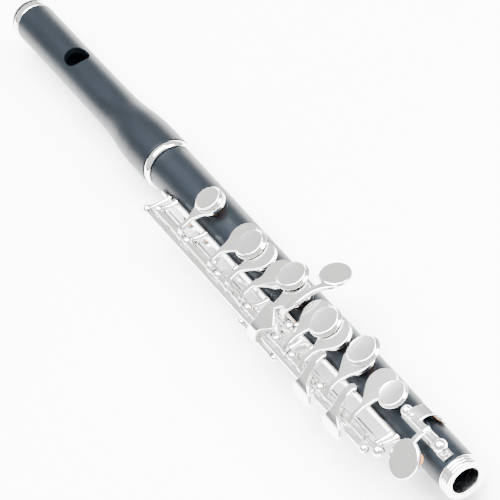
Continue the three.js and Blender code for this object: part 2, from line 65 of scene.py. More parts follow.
HEAD_LOW, HEAD_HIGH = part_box("head_tube")
_, FOOT_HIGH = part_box("foot_ring")
AXIS_Y = (HEAD_LOW.y + HEAD_HIGH.y) / 2
AXIS_Z = (HEAD_LOW.z + HEAD_HIGH.z) / 2

# The tube, as in the CAD part.
CROWN_TIP = 6.4
FOOT_END = 321.2
CROWN_END = 13.7
MOUTH_X = 52.8
MOUTH_ANGLE = -9
MOUTH_LONG, MOUTH_WIDE = 9.8, 9.6
SOCKET_RING_X = 123.7
SHOULDER_X = 127.0
TENON_X = 105.0
FOOT_RING_X = 317.0
HEAD_R, BULGE_R = 8.2, 10.25
SHOULDER_R, FOOT_R = 8.85, 7.25
HEAD_BORE_R, SOCKET_R, TENON_R = 5.5, 8.2, 6.4
BORE_TOP_R, BORE_FOOT_R = 5.2, 4.6
TO_FRAME = Matrix.Translation((FOOT_HIGH.x - FOOT_END / 1000, AXIS_Y, AXIS_Z)) @ Matrix.Scale(0.001, 4)

# The rods' places round the tube (y, z), and the sizes of what turns on them.
MAIN_ROD = (-15.4, 6.6)
TRILL_ROD = (-18.0, 5.2)
GSHARP_ROD = (-9.5, 7.5)
DSHARP_ROD = (-0.4, 10.15)
THUMB_ROD = (-13.2, -3.4)
LEVER_ROD = (-19.6, 2.9)
STEEL_R, TUBE_R, TRILL_TUBE_R = 0.65, 1.45, 1.2
BORE_OF_TUBE = 0.85
CUP_R, PAD_OUT, CUP_HEIGHT, SEAT_GAP = 5.6, 0.5, 1.7, 0.25
KEY_OPENING, THUMB_OPENING = 8.2, 10.0
ARM_HALF = 1.05
PLATE_THICK = 0.85
SHARP_ANGLE = math.radians(38)


# Meshes as (points, faces) pairs.


def circle_steps(count):
    return [2 * math.pi * i / count for i in range(count)]


def lathe(profile, sides=64):
    """A solid turned about the x axis from [x, radius] points that run from the axis back to it, or close a ring."""
    points, rings = [], []
    for x, radius in profile:
        if radius < 1e-6:
            rings.append([len(points)])
            points.append((x, 0.0, 0.0))
            continue
        rings.append(list(range(len(points), len(points) + sides)))
        points += [(x, radius * math.cos(a), radius * math.sin(a)) for a in circle_steps(sides)]
    open_ring = len(rings[0]) > 1 and len(rings[-1]) > 1
    pairs = list(zip(rings, rings[1:])) + ([(rings[-1], rings[0])] if open_ring else [])
    faces = []
    for low, high in pairs:
        for i in range(sides):
            j = (i + 1) % sides
            if len(low) == 1 and len(high) == 1:
                continue
            if len(low) == 1:
                faces.append((low[0], high[i], high[j]))
            elif len(high) == 1:
                faces.append((low[i], high[0], low[j]))
            else:
                faces.append((low[i], high[i], high[j], low[j]))
    return points, faces


def moved(shape, matrix):
    points, faces = shape
    return [tuple(matrix @ Vector(p)) for p in points], faces


def shifted(shape, x=0.0, y=0.0, z=0.0):
    return moved(shape, Matrix.Translation((x, y, z)))


def upright(shape):
    """Turns a lathed solid's axis from +x to +z."""
    return moved(shape, Matrix.Rotation(math.radians(-90), 4, "Y"))


def round_tube(shape, x, angle):
    """Moves a shape built over the top of the tube to x, and turns it round the tube."""
    return moved(shape, Matrix.Rotation(math.radians(angle), 4, "X") @ Matrix.Translation((x, 0, 0)))


def swung(shape, rod, degrees):
    there = Matrix.Translation((0, rod[0], rod[1]))
    return moved(shape, there @ Matrix.Rotation(math.radians(degrees), 4, "X") @ there.inverted())


def eased(low, high, share):
    share = min(max(share, 0.0), 1.0)
    return low + (high - low) * share * share * (3 - 2 * share)


def softened(profile, radius=0.15, steps=2):
    """The profile with each inner corner cut round."""
    out = [profile[0]]
    for before, corner, after in zip(profile, profile[1:], profile[2:]):
        a, c, b = Vector(before), Vector(corner), Vector(after)
        cut = min(radius, (a - c).length * 0.45, (b - c).length * 0.45)
        if cut < 1e-4:
            out.append(corner)
            continue
        start = c + (a - c).normalized() * cut
        end = c + (b - c).normalized() * cut
        for i in range(steps + 1):
            t = i / steps
            out.append(tuple(start * (1 - t) ** 2 + c * 2 * t * (1 - t) + end * t * t))
    out.append(profile[-1])
    return out


def smooth_path(knots, steps=5):
    """A Catmull-Rom curve through the knots, each a tuple of numbers."""
    knots = [Vector(k) for k in knots]
    ends = [knots[0] * 2 - knots[1], *knots, knots[-1] * 2 - knots[-2]]
    out = []
    for p0, p1, p2, p3 in zip(ends, ends[1:], ends[2:], ends[3:]):
        for i in range(steps):
            t = i / steps
            out.append(0.5 * (2 * p1 + (p2 - p0) * t + (2 * p0 - 5 * p1 + 4 * p2 - p3) * t * t
                              + (3 * p1 - p0 - 3 * p2 + p3) * t * t * t))
    out.append(knots[-1])
    return out


def section(half_width, thickness, corner, steps=3):
    """A rounded bar's outline, as (across, up) pairs."""
    corner = min(corner, half_width * 0.98, thickness * 0.49)
    out = []
    for across, up, first in ((1, 1, 0), (-1, 1, 90), (-1, -1, 180), (1, -1, 270)):
        for i in range(steps + 1):
            a = math.radians(first + 90 * i / steps)
            out.append((across * (half_width - corner) + corner * math.cos(a),
                        up * (thickness / 2 - corner) + corner * math.sin(a)))
    return out


def ribbon(stations, corner=0.28):
    """A rounded bar through stations (x, y, z, half width, thickness), lying across the tube."""
    stations = [tuple(s) for s in stations]
    points, faces = [], []
    count = len(section(1, 1, 0.1))
    for i, (x, y, z, half, thick) in enumerate(stations):
        before, after = stations[max(i - 1, 0)], stations[min(i + 1, len(stations) - 1)]
        along = Vector((0, after[1] - before[1], after[2] - before[2])).normalized()
        up = along.cross(Vector((1, 0, 0)))
        for across, rise in section(half, thick, corner):
            points.append(tuple(Vector((x + across, y, z)) + up * rise))
    for i in range(len(stations) - 1):
        for j in range(count):
            k = (j + 1) % count
            a, b = i * count, (i + 1) * count
            faces.append((a + j, a + k, b + k, b + j))
    faces.append(tuple(reversed(range(count))))
    faces.append(tuple(range((len(stations) - 1) * count, len(stations) * count)))
    return points, faces


def prism(outline, z0, z1):
    """An outline of (x, y) points raised from z0 to z1."""
    count = len(outline)
    points = [(x, y, z) for z in (z0, z1) for x, y in outline]
    faces = [tuple(reversed(range(count))), tuple(range(count, 2 * count))]
    faces += [(i, (i + 1) % count, count + (i + 1) % count, count + i) for i in range(count)]
    return points, faces


def ball(x, y, z, radius):
    steps = 12
    profile = [(-radius * math.cos(math.pi * i / steps), radius * math.sin(math.pi * i / steps))
               for i in range(steps + 1)]
    profile[0], profile[-1] = (-radius, 0.0), (radius, 0.0)
    return shifted(lathe(profile, 24), x, y, z)


def rod_along(x0, x1, radius, at, sides=24, edge=0.12):
    profile = [(x0, 0), (x0, radius - edge), (x0 + edge, radius), (x1 - edge, radius), (x1, radius - edge), (x1, 0)]
    return shifted(lathe(profile, sides), 0, at[0], at[1])


def tube_along(x0, x1, radius, at, inner=BORE_OF_TUBE, sides=32):
    edge = 0.12
    profile = [(x0, inner), (x0, radius - edge), (x0 + edge, radius), (x1 - edge, radius), (x1, radius - edge),
               (x1, inner)]
    return shifted(lathe(profile, sides), 0, at[0], at[1])


# Objects.


def mesh_object(name, shape):
    mesh = bpy.data.meshes.new(name)
    mesh.from_pydata([tuple(p) for p in shape[0]], [], [tuple(f) for f in shape[1]])
    mesh.update()
    thing = bpy.data.objects.new(name, mesh)
    bpy.context.scene.collection.objects.link(thing)
    return thing


def faces_out(thing):
    import bmesh

    work = bmesh.new()
    work.from_mesh(thing.data)
    bmesh.ops.recalc_face_normals(work, faces=work.faces)
    work.to_mesh(thing.data)
    work.free()


def boolean(target, other, operation):
    """Joins or cuts target with other, applies it, and removes other."""
    modifier = target.modifiers.new("cut", "BOOLEAN")
    modifier.operation = operation
    modifier.solver = "MANIFOLD"
    modifier.object = other
    bpy.context.view_layer.update()
    depsgraph = bpy.context.evaluated_depsgraph_get()
    result = bpy.data.meshes.new_from_object(target.evaluated_get(depsgraph))
    target.modifiers.remove(modifier)
    old = target.data
    target.data = result
    bpy.data.meshes.remove(old)
    bpy.data.objects.remove(other)


def united(name, shapes, cutters=()):
    target = mesh_object(name, shapes[0])
    faces_out(target)
    for operation, group in (("UNION", shapes[1:]), ("DIFFERENCE", cutters)):
        for shape in group:
            other = mesh_object("part", shape)
            faces_out(other)
            boolean(target, other, operation)
    return target


def finished(thing, body, material, replaces=(), even=True):
    """Puts a piece built in millimetres into the frame, gives it its material and body, and hides the CAD nodes it
    replaces.
    """
    thing.data.transform(TO_FRAME)
    thing.data.shade_smooth()
    thing.data.set_sharp_from_angle(angle=SHARP_ANGLE)
    thing.data.materials.clear()
    thing.data.materials.append(material)
    if even:
        normals = thing.modifiers.new("even shading", "WEIGHTED_NORMAL")
        normals.keep_sharp = True
        normals.weight = 80
    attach(thing, body)
    if replaces:
        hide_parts(*replaces)
    return thing


def piece(name, shapes, body, material, replaces=(), cutters=()):
    return finished(united(name, shapes, cutters), body, material, replaces)


# Materials.


def new_material(name):
    material = bpy.data.materials.new(name)
    material.use_nodes = True
    tree = material.node_tree
    return material, tree, tree.nodes["Principled BSDF"]


def noise(tree, scale, detail=3.0, stretch=(1, 1, 1)):
    where = tree.nodes.new("ShaderNodeTexCoord")
    mapping = tree.nodes.new("ShaderNodeMapping")
    mapping.inputs["Scale"].default_value = stretch
    tree.links.new(where.outputs["Object"], mapping.inputs["Vector"])
    texture = tree.nodes.new("ShaderNodeTexNoise")
    texture.inputs["Scale"].default_value = scale
    texture.inputs["Detail"].default_value = detail
    tree.links.new(mapping.outputs["Vector"], texture.inputs["Vector"])
    return texture


def ramp(tree, source, low, high, start=0.3, end=0.7):
    colours = tree.nodes.new("ShaderNodeValToRGB")
    colours.color_ramp.elements[0].position = start
    colours.color_ramp.elements[0].color = (*low, 1)
    colours.color_ramp.elements[1].position = end
    colours.color_ramp.elements[1].color = (*high, 1)
    tree.links.new(source, colours.inputs["Fac"])
    return colours


def spread(tree, source, low, high):
    values = tree.nodes.new("ShaderNodeMapRange")
    values.inputs["To Min"].default_value = low
    values.inputs["To Max"].default_value = high
    tree.links.new(source, values.inputs["Value"])
    return values


def bump(tree, surface, source, strength, distance):
    node = tree.nodes.new("ShaderNodeBump")
    node.inputs["Strength"].default_value = strength
    node.inputs["Distance"].default_value = distance
    tree.links.new(source, node.inputs["Height"])
    tree.links.new(node.outputs["Normal"], surface.inputs["Normal"])


def composite_material():
    material, tree, surface = new_material("black composite")
    grain = noise(tree, 260, 4, (0.25, 1, 1))
    tint = ramp(tree, grain.outputs["Fac"], (0.0012, 0.0019, 0.003), (0.002, 0.0032, 0.005))
    tree.links.new(tint.outputs["Color"], surface.inputs["Base Color"])
    wear = noise(tree, 900, 3)
    rough = spread(tree, wear.outputs["Fac"], 0.36, 0.46)
    tree.links.new(rough.outputs["Result"], surface.inputs["Roughness"])
    surface.inputs["Specular IOR Level"].default_value = 0.2
    surface.inputs["Specular Tint"].default_value = (0.72, 0.86, 1.0, 1)
    bump(tree, surface, wear.outputs["Fac"], 0.08, 0.00004)
    return material


def silver_material(name, base, rough_low, rough_high, scratch=0.03):
    material, tree, surface = new_material(name)
    surface.inputs["Metallic"].default_value = 1.0
    haze = noise(tree, 180, 3)
    tint = ramp(tree, haze.outputs["Fac"], tuple(v * 0.965 for v in base), base)
    tree.links.new(tint.outputs["Color"], surface.inputs["Base Color"])
    wipe = noise(tree, 1400, 2, (1, 0.15, 1))
    rough = spread(tree, wipe.outputs["Fac"], rough_low, rough_high)
    tree.links.new(rough.outputs["Result"], surface.inputs["Roughness"])
    bump(tree, surface, wipe.outputs["Fac"], scratch, 0.00002)
    return material


def cork_material():
    material, tree, surface = new_material("cork")
    cells = tree.nodes.new("ShaderNodeTexVoronoi")
    cells.inputs["Scale"].default_value = 2200
    where = tree.nodes.new("ShaderNodeTexCoord")
    tree.links.new(where.outputs["Object"], cells.inputs["Vector"])
    tint = ramp(tree, cells.outputs["Distance"], (0.30, 0.10, 0.035), (0.62, 0.27, 0.10), 0.1, 0.6)
    tree.links.new(tint.outputs["Color"], surface.inputs["Base Color"])
    surface.inputs["Roughness"].default_value = 0.85
    bump(tree, surface, cells.outputs["Distance"], 0.4, 0.00008)
    return material


def pad_material():
    material, tree, surface = new_material("pad skin")
    folds = noise(tree, 500, 4, (1, 1, 0.3))
    tint = ramp(tree, folds.outputs["Fac"], (0.66, 0.25, 0.09), (0.80, 0.38, 0.16))
    tree.links.new(tint.outputs["Color"], surface.inputs["Base Color"])
    rough = spread(tree, folds.outputs["Fac"], 0.45, 0.7)
    tree.links.new(rough.outputs["Result"], surface.inputs["Roughness"])
    bump(tree, surface, folds.outputs["Fac"], 0.35, 0.0001)
    return material


COMPOSITE = composite_material()
SILVER = silver_material("silver plate", (0.92, 0.91, 0.90), 0.10, 0.17)
STEEL = silver_material("turned steel", (0.62, 0.62, 0.64), 0.16, 0.26, 0.06)
BLUED = silver_material("blued spring wire", (0.045, 0.05, 0.075), 0.22, 0.34, 0.05)
CORK = cork_material()
PAD_SKIN = pad_material()


# The tube.


def tube_radius(x):
    return SHOULDER_R + (FOOT_R - SHOULDER_R) * (x - SHOULDER_X) / (FOOT_RING_X - SHOULDER_X)


def head_outside():
    knots = [(44, HEAD_R - 0.15), (80, HEAD_R), (88, HEAD_R + 0.2), (92.4, HEAD_R + 0.5), (97, HEAD_R + 1.05),
             (101.5, HEAD_R + 1.55), (106, BULGE_R - 0.2), (111, BULGE_R)]
    curve = [tuple(p) for p in smooth_path(knots, 6)]
    return [(CROWN_END, HEAD_R - 0.1), (CROWN_END + 0.2, HEAD_R), *curve, (SOCKET_RING_X - 0.5, BULGE_R),
            (SOCKET_RING_X - 0.3, BULGE_R - 0.15)]


def build_head():
    cap = [(0, 0), (0.02, 2.5), (0.12, 4.7), (0.4, 6.3), (0.85, 7.2), (1.5, 7.8), (2.4, 8.15), (3.1, 8.2), (3.3, 8.12),
           (3.3, 0)]
    curve = [tuple(p) for p in smooth_path(cap[:8], 4)]
    curve = [(CROWN_TIP + max(x, 0), max(r, 0)) for x, r in [*curve, *cap[8:]]]
    piece("crown_cap_black", [lathe(curve, 96)], "crown", COMPOSITE, ["crown_cap"])
    ring = [(10, 2), (10, 8.15), (10.15, 8.38), (10.5, 8.5), (11.6, 8.53), (12.9, 8.5), (13.25, 8.4), (13.4, 8.2),
            (13.4, 5.1), (18.7, 5.1), (18.7, 2)]
    piece("crown_ring_silver", [lathe(ring, 96)], "crown", SILVER, ["crown_ring"])
    socket_end = TENON_X - 1
    inside = [(SOCKET_RING_X - 0.3, SOCKET_R), (socket_end, SOCKET_R), (socket_end, HEAD_BORE_R),
              (CROWN_END, HEAD_BORE_R)]
    outline = [(math.copysign(abs(math.cos(a)) ** 0.8, math.cos(a)) * MOUTH_LONG / 2,
                math.copysign(abs(math.sin(a)) ** 0.8, math.sin(a)) * MOUTH_WIDE / 2) for a in circle_steps(72)]
    mouth = round_tube(prism(outline, 0, 12), MOUTH_X, MOUTH_ANGLE)
    piece("head_tube_black", [lathe([*head_outside(), *inside], 128)], "head_joint", COMPOSITE,
          ["head_tube"], [mouth])
    ring = [(SOCKET_RING_X, SOCKET_R), (SOCKET_RING_X, 9.85), (124.1, 10.1), (124.9, 10.22), (125.7, 10.15),
            (126.3, 9.85), (126.7, 9.35), (126.7, SOCKET_R)]
    piece("socket_ring_silver", [lathe(ring, 128)], "head_joint", SILVER, ["socket_ring"])


TONE_HOLES = [(149.5, 140, 1.5), (160.7, 140, 1.5), (165.7, 0, 1.6), (182, 165, 2.6), (189.5, 0, 2.6),
              (201.6, 0, 2.6), (213, 0, 2.7), (224.9, 0, 2.7), (219.9, 110, 2.7), (238.2, 0, 2.8),
              (249.9, 0, 2.8), (264.2, 0, 2.8), (278.6, 0, 2.8), (295.1, -64, 2.8)]


def build_body():
    end = FOOT_RING_X - 0.3
    outline = [(TENON_X, BORE_TOP_R), (TENON_X, TENON_R), (SHOULDER_X, TENON_R), (SHOULDER_X, SHOULDER_R - 0.15),
               (SHOULDER_X + 0.15, SHOULDER_R), (end, FOOT_R), (end, BORE_FOOT_R)]
    seats, drills = [], []
    for x, angle, hole in TONE_HOLES:
        top = tube_radius(x) - 0.05
        seat = [(BORE_TOP_R + 1, 0), (BORE_TOP_R + 1, 4.2), (top - 0.2, 4.2), (top, 3.9), (top, 0)]
        seats.append(round_tube(upright(lathe(seat, 32)), x, angle))
        drill = [(0, 0), (0, hole), (top - 0.3, hole), (top + 0.2, hole + 0.5), (top + 0.2, 0)]
        drills.append(round_tube(upright(lathe(drill, 32)), x, angle))
    piece("body_tube_black", [lathe(outline, 128), *seats], "body_joint", COMPOSITE, ["body_tube"],
          drills)
    ring = [(0, BORE_FOOT_R), (0, 7.35), (0.15, 7.52), (0.4, 7.6), (1.25, 7.6), (1.42, 7.5), (1.5, 7.38), (1.58, 7.5),
            (1.75, 7.6), (2.45, 7.6), (2.62, 7.5), (2.7, 7.38), (2.78, 7.5), (2.95, 7.6), (3.6, 7.58), (3.95, 7.45),
            (4.15, 7.2), (4.2, 6.95), (4.2, 5.35), (4.1, 5.15), (3.8, 5.0)]
    ring = [(FOOT_RING_X + x, radius) for x, radius in ring]
    piece("foot_ring_silver", [lathe(ring, 128)], "body_joint", SILVER, ["foot_ring"])


# Straps and posts.


def strap(x0, x1, angle0, angle1, thick=0.8):
    """A curved plate on the tube, following its taper, with rounded edges."""
    steps_x, steps_a = 24, 10
    points, faces = [], []
    outline = []
    for i in range(steps_a + 1):
        outline.append((i / steps_a, 0.0))
    for i in range(steps_a, -1, -1):
        outline.append((i / steps_a, 1.0))
    count = len(outline)
    for i in range(steps_x + 1):
        x = x0 + (x1 - x0) * i / steps_x
        for share, level in outline:
            edge = min(share, 1 - share) < 0.01 and level > 0.5
            radius = tube_radius(x) * (1 + 0.3 / FOOT_R) + (thick - (0.2 if edge else 0)) * level
            turn = math.radians(angle0 + (angle1 - angle0) * share)
            points.append((x, -radius * math.sin(turn), radius * math.cos(turn)))
    for i in range(steps_x):
        for j in range(count):
            k = (j + 1) % count
            faces.append((i * count + j, i * count + k, (i + 1) * count + k, (i + 1) * count + j))
    faces.append(tuple(range(count)))
    faces.append(tuple(range(steps_x * count, (steps_x + 1) * count)))
    return points, faces


def post(x, rod, ball_r=1.7, ball_x=None):
    """A turned post with a spreading foot, and a ball round the rod."""
    angle = math.degrees(math.atan2(-rod[0], rod[1]))
    reach = math.hypot(*rod)
    foot = tube_radius(x) + 0.75
    stem = [(foot, 0), (foot, 1.75), (foot + 0.5, 1.6), (foot + 1.7, 0.95), (reach - ball_r - 0.7, 0.82),
            (reach - ball_r - 0.35, 1.05), (reach - ball_r + 0.5, 1.05), (reach - 0.6, 0.8), (reach - 0.6, 0)]
    return [round_tube(upright(lathe(stem, 24)), x, angle), ball(x if ball_x is None else ball_x, *rod, ball_r)]


def strap_piece(name, node, plates, posts, bores):
    shapes = [*plates, *[shape for group in posts for shape in group]]
    cutters = [rod_along(x0, x1, STEEL_R + 0.2, rod) for x0, x1, rod in bores]
    piece(name, shapes, "body_joint", SILVER, [node], cutters)


MAIN_POSTS = [147.6, 169, 191.4, 212.4, 231.3, 241.8, 260.2]
RIGHT_END, RIGHT_END_FOOT = 295.9, 293.6
LEVER_POSTS = [212.6, 234.6]


def build_straps():
    strap_piece("upper_strap_silver", "trill_strap", [strap(137, 145.6, 68, 84)], [post(142.6, TRILL_ROD)],
                [(138, 150, TRILL_ROD)])
    plates = [strap(146, 294.8, 57.5, 76)] + [strap(x - 1.2, x + 1.2, 72, 88) for x in LEVER_POSTS]
    posts = [post(x, MAIN_ROD) for x in MAIN_POSTS]
    posts += [post(290.6, TRILL_ROD), post(RIGHT_END_FOOT, MAIN_ROD, 2.2, RIGHT_END)]
    posts += [post(x, LEVER_ROD, 1.3) for x in LEVER_POSTS]
    posts.append([rod_along(RIGHT_END_FOOT - 1, RIGHT_END, 1.3, MAIN_ROD)])
    strap_piece("main_strap_silver", "main_strap", plates, posts,
                [(145, 294.8, MAIN_ROD), (280, 299, TRILL_ROD), (212.1, 234.9, LEVER_ROD)])
    strap_piece("gsharp_strap_silver", "gsharp_strap", [strap(218.5, 233, 45, 54)],
                [post(221, GSHARP_ROD, 1.5), post(231.3, GSHARP_ROD, 1.9)], [(218, 234, GSHARP_ROD)])
    strap_piece("dsharp_strap_silver", "dsharp_strap", [strap(291.3, 315.8, -10, 18)],
                [post(292.5, DSHARP_ROD, 2), post(311.8, DSHARP_ROD, 2.45)], [(289, 316, DSHARP_ROD)])
    strap_piece("thumb_strap_silver", "thumb_strap", [strap(174.5, 208, 98, 111)],
                [post(176.5, THUMB_ROD), post(206, THUMB_ROD)], [(174, 209, THUMB_ROD)])


def build_rods():
    for name, x0, x1, rod in (("left_rod", 146.2, 232.2, MAIN_ROD), ("right_rod", 232.6, 294.4, MAIN_ROD),
                              ("gsharp_rod", 219.8, 232.8, GSHARP_ROD), ("dsharp_rod", 291.3, 313.4, DSHARP_ROD),
                              ("thumb_rod", 175, 207.5, THUMB_ROD), ("lever_rod", 212.4, 234.6, LEVER_ROD)):
        piece(name + "_steel", [rod_along(x0, x1, STEEL_R, rod)], "body_joint", STEEL, [name])


# Keys.


def seat_height(x):
    return tube_radius(x) - 0.05 + 0.3


def cup_and_pad(face, radius=CUP_R, height=CUP_HEIGHT):
    """A cup with its pad, over the tube's top; the pad's face is at the height face."""
    rim, top = face + PAD_OUT, face + PAD_OUT + height
    hollow = rim + height * 0.53
    wall = 0.45
    cup = [(hollow, 0), (hollow, radius - wall), (rim, radius - wall), (rim, radius - 0.12), (rim + 0.12, radius),
           (top - 0.45, radius), (top - 0.2, radius - 0.08), (top - 0.05, radius - 0.25), (top, radius - 0.5),
           (top, 0)]
    skin = radius - wall - 0.2
    pad = [(face + 0.15, 0), (face + 0.1, skin * 0.5), (face, skin * 0.8), (face + 0.1, skin - 0.15),
           (face + 0.35, skin), (hollow - 0.2, skin), (hollow - 0.2, 0)]
    return upright(lathe(cup, 64)), upright(lathe(pad, 48)), top


def touch_disc(x, y, z, top_r=5.0, base_r=6.1, height=1.5):
    """A finger touch: a barely dished top on a hollow-curved flank."""
    profile = [(-0.05, 0), (-0.05, base_r - 0.6), (0, base_r - 0.2), (0.16, base_r), (0.34, base_r - 0.06),
               (0.5, base_r - 0.25), (0.8, base_r - 0.6), (height - 0.3, top_r + 0.14), (height - 0.08, top_r + 0.04),
               (height, top_r - 0.1), (height, top_r - 0.3), (height - 0.1, top_r - 0.9), (height - 0.14, 0)]
    return shifted(upright(lathe(profile, 64)), x, y, z)


def spoon_and_arm(x, arm_x, top, radius, half=ARM_HALF):
    """The flat plate on a cup, which narrows into the arm and bends down to the main rod."""
    meet = -0.55 * radius
    meet_half = math.sqrt(radius ** 2 - meet ** 2)
    stations = []
    level = top - PLATE_THICK / 2
    angles = [3, 12, 22, 33, 45, 58, 72, 86, 100, 112]
    for angle in angles:
        y = radius * math.cos(math.radians(angle))
        stations.append((x, y, level, radius * math.sin(math.radians(angle)), PLATE_THICK))
    end = -9.8
    slope0, slope1 = -meet / meet_half, 0.12
    for i in range(9):
        t = i / 8
        y = meet + (end - meet) * t
        run = meet - end
        width = ((2 * t ** 3 - 3 * t ** 2 + 1) * meet_half - (t ** 3 - 2 * t ** 2 + t) * slope0 * run
                 + (-2 * t ** 3 + 3 * t ** 2) * half - (t ** 3 - t ** 2) * slope1 * run)
        stations.append((eased(x, arm_x, t), y, level, width, PLATE_THICK + 0.25 * t))
    bend = smooth_path([(-9.8, level), (-12, level - 0.08), (-13.9, level - 0.45), (-15.4, 8.45), (-16.4, 7.75),
                        (-16.85, 6.95)], 4)[1:]
    stations += [(arm_x, p.x, p.y, half, PLATE_THICK + 0.25) for p in bend]
    return ribbon(stations)


def key_collars(x0, x1, rod, radius=TUBE_R):
    """The hinge tube, with a faint raised collar at each end."""
    edge, collar = 0.1, min(0.9, (x1 - x0) / 4)
    profile = [(x0, BORE_OF_TUBE), (x0, radius), (x0 + edge, radius + 0.1), (x0 + collar, radius + 0.1),
               (x0 + collar + edge, radius), (x1 - collar - edge, radius), (x1 - collar, radius + 0.1),
               (x1 - edge, radius + 0.1), (x1, radius), (x1, BORE_OF_TUBE)]
    return shifted(lathe(profile, 32), 0, rod[0], rod[1])


def main_key(name, x, arm_x, tube, touch=None, radius=CUP_R, extra=None):
    cup, pad, top = cup_and_pad(seat_height(x), radius)
    shapes = [shifted(cup, x), spoon_and_arm(x, arm_x, top, radius), key_collars(*tube, MAIN_ROD)]
    if touch:
        touch_x, touch_y, tilt, top_r, base_r = touch
        between = ((touch_x + x) / 2, touch_y / 2)
        neck = upright(lathe([(top - 0.4, 0), (top - 0.4, 2.1), (top + 0.9, 2.1), (top + 0.9, 0)], 24))
        disc = moved(touch_disc(0, 0, 0, top_r, base_r), Matrix.Rotation(math.radians(tilt), 4, "X"))
        shapes += [shifted(neck, *between), shifted(disc, touch_x, touch_y, top + 0.5)]
    if extra:
        shapes += extra(top)
    shapes = [swung(shape, MAIN_ROD, KEY_OPENING) for shape in shapes]
    body = name + "_key"
    piece(name + "_key_silver", shapes, body, SILVER, [body])
    pad = swung(shifted(pad, x), MAIN_ROD, KEY_OPENING)
    piece(name + "_pad_skin", [pad], body, PAD_SKIN, [name + "_pad"])


def slanted_arm(top):
    """The G touch's own arm, from the G key's arm to the touch beyond the cups."""
    level = top + 0.2
    knots = [(210.6, -7.4, level - 0.3, 1.2, 0.9), (213.4, -3.8, level + 0.2, 1.6, 0.9),
             (216.6, -0.6, level + 0.5, 2.4, 0.9), (218.6, 1.6, level + 0.6, 2.6, 0.9)]
    return [ribbon(smooth_path(knots, 4))]


def build_main_keys():
    main_key("c", 165.7, 165.7, (149.7, 166.9), (165.7, 0, 0, 4.5, 5.4), 5.4)
    main_key("bb", 189.5, 187.2, (171.1, 189.3))
    main_key("a", 201.6, 199.6, (193.5, 203.6), (195.2, 0, 0, 5.0, 6.1), 5.4)
    main_key("g", 213, 209, (203.9, 210.3), (219, 3, -6, 5.0, 6.1), 5.4, slanted_arm)
    main_key("g_lower", 224.9, 222.8, (214.5, 229.2), None, 5.2)
    main_key("fsharp", 237.8, 239.0, (233.4, 239.8), None, 5.4)
    main_key("f", 249.9, 249.2, (243.9, 258.1), (243.9, 0.4, 0, 5.1, 6.1))
    main_key("e", 264.2, 265.4, (262.3, 272), (264, 3, 0, 5.0, 6.1))
    main_key("d", 278.6, 280.4, (272.3, 288.5), (285.9, 0.2, 0, 4.7, 5.2))


def trill_key(name, tongue_x, cup_x, tubes):
    """A tongue between the finger keys, and a closed cup under the tube near the head."""
    blade = [(0.4, -7.7, 12.4, 0.9, 1.3), (0.4, -8.2, 12.55, 1.5, 1.8), (0.4, -9.6, 12.5, 1.7, 2.1),
             (0.4, -12, 11.8, 1.7, 2.2), (0.4, -15, 10.1, 1.75, 2.1), (0.6, -17.3, 8.5, 2.1, 1.8),
             (1.1, -19.1, 6.9, 3.8, 1.5), (1.5, -20.4, 5.5, 5.3, 1.3), (1.8, -21.4, 4, 5.6, 1.2),
             (2.2, -21.9, 2.9, 4.2, 1.1), (2.4, -22.1, 2.4, 2.2, 1.0)]
    tongue = ribbon([(tongue_x + s[0], *list(s)[1:]) for s in smooth_path(blade, 4)], 0.55)
    web = ribbon([(tongue_x + 1.2, -18.4, 8.0, 2.2, 1.5), (tongue_x + 1.2, -18.1, 5.6, 2.2, 1.5)])
    cup, pad, top = cup_and_pad(seat_height(cup_x), 4.4)
    reach = smooth_path([(-18, 4.4), (-17.6, 1.2), (-15.8, -1.8), (-13.2, -4), (-7.2, -9)], 4)
    arm = ribbon([(cup_x, p.x, p.y, 1.0, 1.0) for p in reach])
    lid = [(top - 0.4, 0), (top - 0.4, 3.6), (top + 0.25, 3.3), (top + 0.5, 2.6), (top + 0.6, 0)]
    shapes = [tongue, web, arm, round_tube(cup, cup_x, 140), round_tube(upright(lathe(lid, 40)), cup_x, 140), *tubes]
    piece(name + "_key_silver", shapes, name, SILVER, [name + "_key"])
    skin = piece(name + "_pad_skin", [round_tube(pad, cup_x, 140)], name, PAD_SKIN, [name + "_pad"])


def build_trills():
    trill_key("trill_d", 254.2, 160.7, [tube_along(158, 259.5, TRILL_TUBE_R, TRILL_ROD)])
    inner = [rod_along(141.6, 291.6, STEEL_R, TRILL_ROD), tube_along(144.8, 157.6, TRILL_TUBE_R, TRILL_ROD, 0.5),
             tube_along(259.9, 288.4, TRILL_TUBE_R, TRILL_ROD, 0.5)]
    trill_key("trill_dsharp", 273.2, 149.5, inner)


